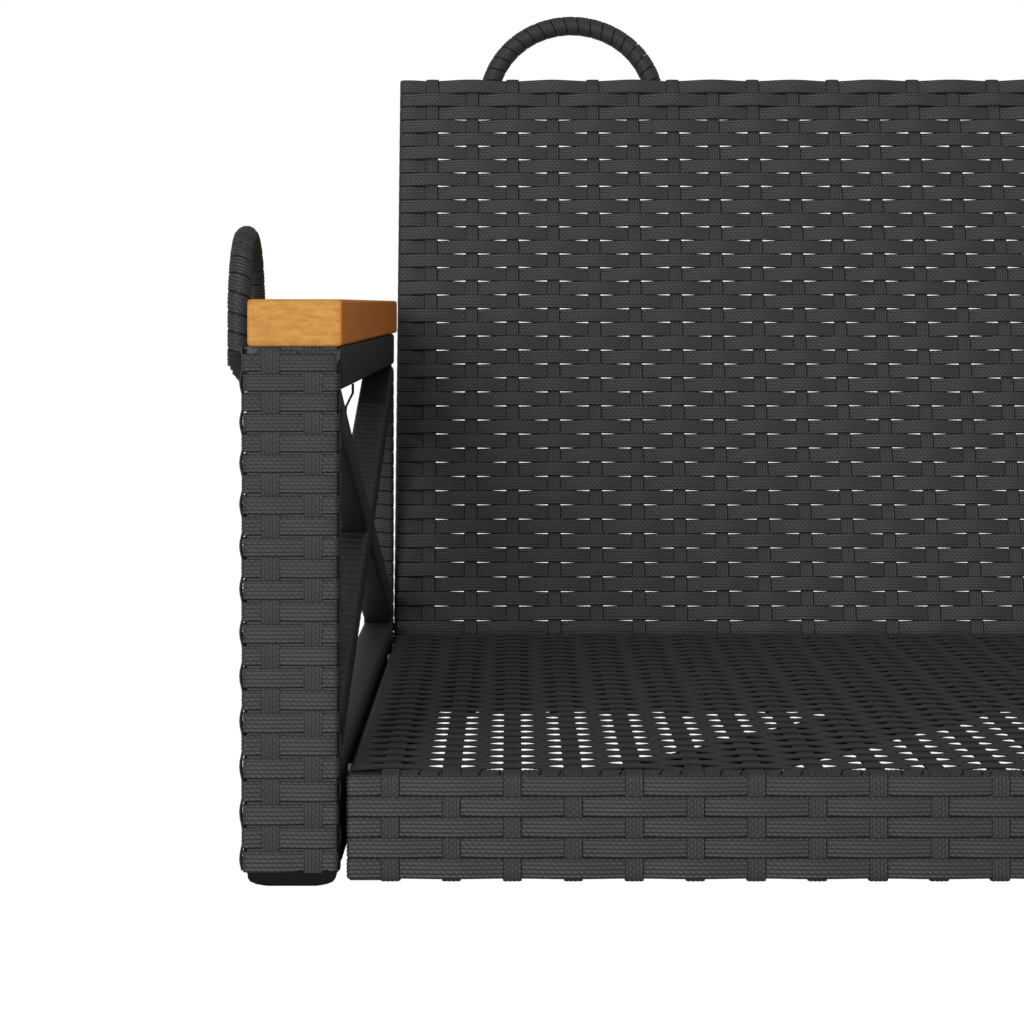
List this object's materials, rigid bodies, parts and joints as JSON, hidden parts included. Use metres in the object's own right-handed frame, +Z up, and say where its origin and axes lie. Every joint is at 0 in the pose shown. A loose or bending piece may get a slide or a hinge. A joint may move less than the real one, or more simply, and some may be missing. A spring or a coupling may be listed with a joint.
{
  "type": "porch swing bench",
  "caption": "Low hanging garden bench: woven flat rattan on a tube frame, reclined back, braced arms with wooden armrests and rope loops.",
  "frame": {"origin": "on the floor, under the middle of the bounding box, with the swing resting on its feet", "axes": "+Z up, -Y is the open front of the seat, +X to the right as seen from the front"},
  "size_m": [1.089, 0.6186, 0.4001],
  "materials": {
    "rattan": "flat strips with fine lengthwise ribs",
    "wood": "oiled hardwood",
    "foot_plastic": "moulded",
    "frame_steel": "powder coat",
    "fastener": "zinc plated"
  },
  "bodies": {
    "root": {"arm_brace_falling_left": "frame_steel", "arm_brace_falling_right": "frame_steel", "arm_brace_rising_left": "frame_steel", "arm_brace_rising_right": "frame_steel", "arm_front_post_left": "frame_steel", "arm_front_post_right": "frame_steel", "arm_loop_left": "frame_steel", "arm_loop_right": "frame_steel", "arm_loop_wrap_left": "rattan", "arm_loop_wrap_right": "rattan", "arm_lower_rail_left": "frame_steel", "arm_lower_rail_right": "frame_steel", "arm_post_weave_left": "rattan", "arm_post_weave_right": "rattan", "arm_rear_post_left": "frame_steel", "arm_rear_post_right": "frame_steel", "arm_top_rail_left": "frame_steel", "arm_top_rail_right": "frame_steel", "arm_wrap_left": "rattan", "arm_wrap_right": "rattan", "armrest_left": "wood", "armrest_right": "wood", "armrest_screws": "fastener", "back_loop_left": "frame_steel", "back_loop_right": "frame_steel", "back_loop_wrap_left": "rattan", "back_loop_wrap_right": "rattan", "back_rail_bottom": "frame_steel", "back_rail_top": "frame_steel", "back_side_wrap_left": "rattan", "back_side_wrap_right": "rattan", "back_spacers": "fastener", "back_stile_left": "frame_steel", "back_stile_right": "frame_steel", "back_top_wrap": "rattan", "back_upright_middle": "frame_steel", "back_weave": "rattan", "bolts_back": "fastener", "bolts_side": "fastener", "feet_front": "foot_plastic", "feet_rear": "foot_plastic", "nuts": "fastener", "seat_apron_front": "rattan", "seat_apron_rear": "rattan", "seat_crossbar_left": "frame_steel", "seat_crossbar_right": "frame_steel", "seat_diagonal_left": "frame_steel", "seat_diagonal_right": "frame_steel", "seat_edge_rod_front": "frame_steel", "seat_edge_rod_rear": "frame_steel", "seat_rail_front": "frame_steel", "seat_rail_rear": "frame_steel", "seat_side_rail_left": "frame_steel", "seat_side_rail_right": "frame_steel", "seat_side_wrap_left": "rattan", "seat_side_wrap_right": "rattan", "seat_weave": "rattan"}
  },
  "joints": []
}
